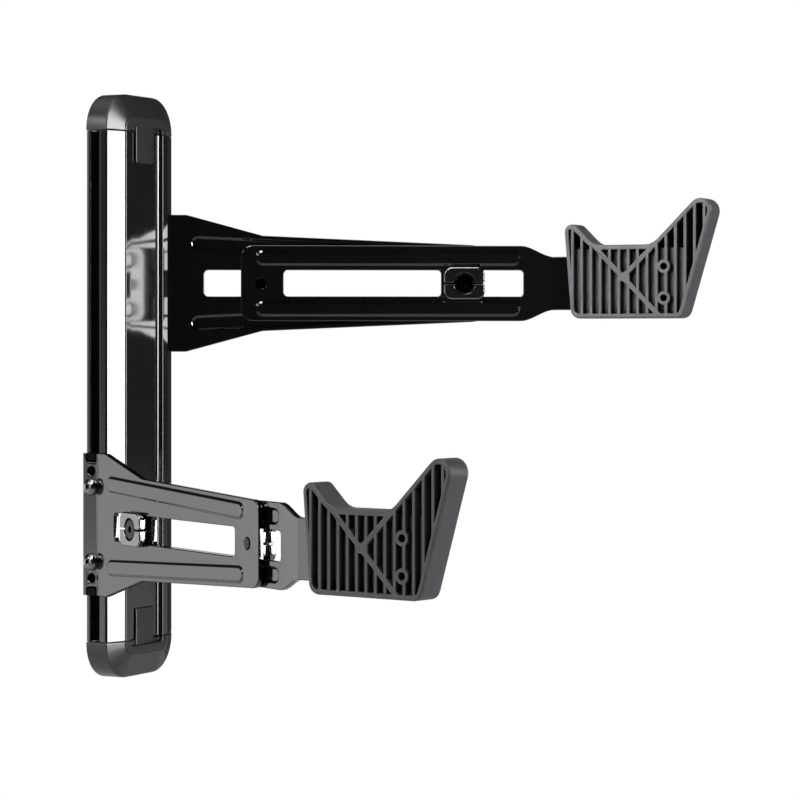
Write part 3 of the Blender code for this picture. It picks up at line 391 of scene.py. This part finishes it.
def addLevels(tree, value, stops, span):
    # levels, 0 to 1, at places along a value's span
    first, last = span
    share = addNode(tree, "ShaderNodeMapRange", {}, {"Value": value, "From Min": first, "From Max": last})
    ramp = addNode(tree, "ShaderNodeValToRGB", {}, {0: share.outputs[0]})
    points = ramp.color_ramp.elements
    while len(points) > 1:
        points.remove(points[-1])
    for number, (place, level) in enumerate(stops):
        position = (place - first) / (last - first)
        point = points[0] if number == 0 else points.new(position)
        point.position = position
        point.color = (level, level, level, 1.0)
    return ramp.outputs[0]


def addBox(tree, direction, rim, azimuth, elevation, spread, strength):
    # a round softbox in the room, soft at its rim
    level = math.cos(math.radians(elevation))
    towards = (level * math.cos(math.radians(azimuth)), level * math.sin(math.radians(azimuth)),
               math.sin(math.radians(elevation)))
    facing = addNode(tree, "ShaderNodeVectorMath", {"operation": "DOT_PRODUCT"}, {0: direction, 1: towards})
    disc = addNode(tree, "ShaderNodeMapRange", {}, {
        "Value": facing.outputs["Value"],
        "From Min": math.cos(math.radians(spread + rim)),
        "From Max": math.cos(math.radians(spread - rim)),
        "To Max": strength})
    return disc.outputs[0]


def makeRoom(values):
    # The camera sees plain white, matt surfaces get an even fill, and gloss sees the walls and softboxes.
    world = bpy.data.worlds.new("white studio")
    scene.world = world
    world.use_nodes = True
    tree = world.node_tree
    tree.nodes.clear()
    place = addNode(tree, "ShaderNodeTexCoord")
    axes = addNode(tree, "ShaderNodeSeparateXYZ", {}, {0: place.outputs["Generated"]})
    azimuth = addNode(tree, "ShaderNodeMath", {"operation": "ARCTAN2"}, {
        0: axes.outputs["Y"], 1: axes.outputs["X"]})
    around = addNode(tree, "ShaderNodeMapRange", {}, {
        "Value": azimuth.outputs[0], "From Min": -math.pi, "From Max": math.pi,
        "To Min": turn[0], "To Max": turn[1]})
    panels = []
    for name in ("wall", "side"):
        across = addLevels(tree, around.outputs[0], values[name + "Around"], turn)
        upwards = addLevels(tree, axes.outputs["Z"], values[name + "Upwards"], height)
        panels.append(addNode(tree, "ShaderNodeMath", {"operation": "MULTIPLY"}, {0: across, 1: upwards}))
    both = addNode(tree, "ShaderNodeMath", {"operation": "ADD"}, {
        0: panels[0].outputs[0], 1: panels[1].outputs[0]})
    gloss = addNode(tree, "ShaderNodeMath", {"operation": "MULTIPLY"}, {
        0: both.outputs[0], 1: values["brightest"]})
    for box in values["boxes"]:
        disc = addBox(tree, place.outputs["Generated"], values["boxRim"], *box)
        gloss = addNode(tree, "ShaderNodeMath", {"operation": "ADD"}, {0: gloss.outputs[0], 1: disc})
    ray = addNode(tree, "ShaderNodeLightPath")
    unseen = addNode(tree, "ShaderNodeMix", {"data_type": "FLOAT"}, {   # its numbers are sockets 2 and 3
        "Factor": ray.outputs["Is Glossy Ray"], 2: values["fill"], 3: gloss.outputs[0]})
    level = addNode(tree, "ShaderNodeMix", {"data_type": "FLOAT"}, {
        "Factor": ray.outputs["Is Camera Ray"], 2: unseen.outputs[0], 3: 1.0})
    shine = addNode(tree, "ShaderNodeBackground", {}, {
        "Color": (1.0, 1.0, 1.0, 1.0), "Strength": level.outputs[0]})
    addNode(tree, "ShaderNodeOutputWorld", {}, {"Surface": shine.outputs[0]})


lamps = {
    # place, aim, width in metres, watts, degrees that the light spreads over
    "key_light": ((1.2, -2.0, 0.9), middle, 1.0, 4.0, 180.0),
    "top_light": ((0.6, 0.3, 2.0), middle, 1.2, 18.0, 180.0),
    # rakes the ribs and the caps' sides from the left
    "side_light": ((-1.5, 1.2, 0.5), middle, 0.8, 27.0, 180.0),
    # brings out the ribs of the far cradle
    "far_light": ((-0.75, -0.1, 0.42), (0.2, -0.36, 0.11), 0.3, 0.9, 30.0),
}


def makeLamp(name, place, aim, width, power, spread):
    # a square lamp that gloss doesn't mirror, because the room's softboxes do that
    lamp = bpy.data.lights.new(name, "AREA")
    lamp.shape = "SQUARE"
    lamp.size = width
    lamp.energy = power
    lamp.spread = math.radians(spread)
    holder = bpy.data.objects.new(name, lamp)
    scene.collection.objects.link(holder)
    holder.location = place
    holder.rotation_euler = (Vector(aim) - Vector(place)).to_track_quat("-Z", "Y").to_euler()
    holder.visible_glossy = False


makeRoom(room)
for name, values in lamps.items():
    makeLamp(name, *values)
print("light done")


# Camera

view = {
    # fitted to points that were measured in the photograph
    "place": (-1.9176, -1.2428, 0.0384),
    "azimuth": 27.32,             # degrees from +X towards +Y, the way it looks
    "lens": 128.195,              # millimetres
    "sensorWidth": 36.0,
    "shiftUp": -0.0786,           # the horizon lies above the picture's middle
    "farthest": 30.0,             # metres that it sees
}


def makeCamera(values):
    camera = bpy.data.cameras.new("photo_view")
    camera.sensor_width = values["sensorWidth"]
    camera.lens = values["lens"]
    camera.shift_y = values["shiftUp"]
    camera.clip_end = values["farthest"]
    holder = bpy.data.objects.new("photo_view", camera)
    scene.collection.objects.link(holder)
    holder.location = values["place"]
    holder.rotation_euler = (math.pi / 2.0, 0.0, math.radians(values["azimuth"] - 90.0))
    scene.camera = holder


makeCamera(view)
scene.view_settings.view_transform = "Standard"
print("camera done")
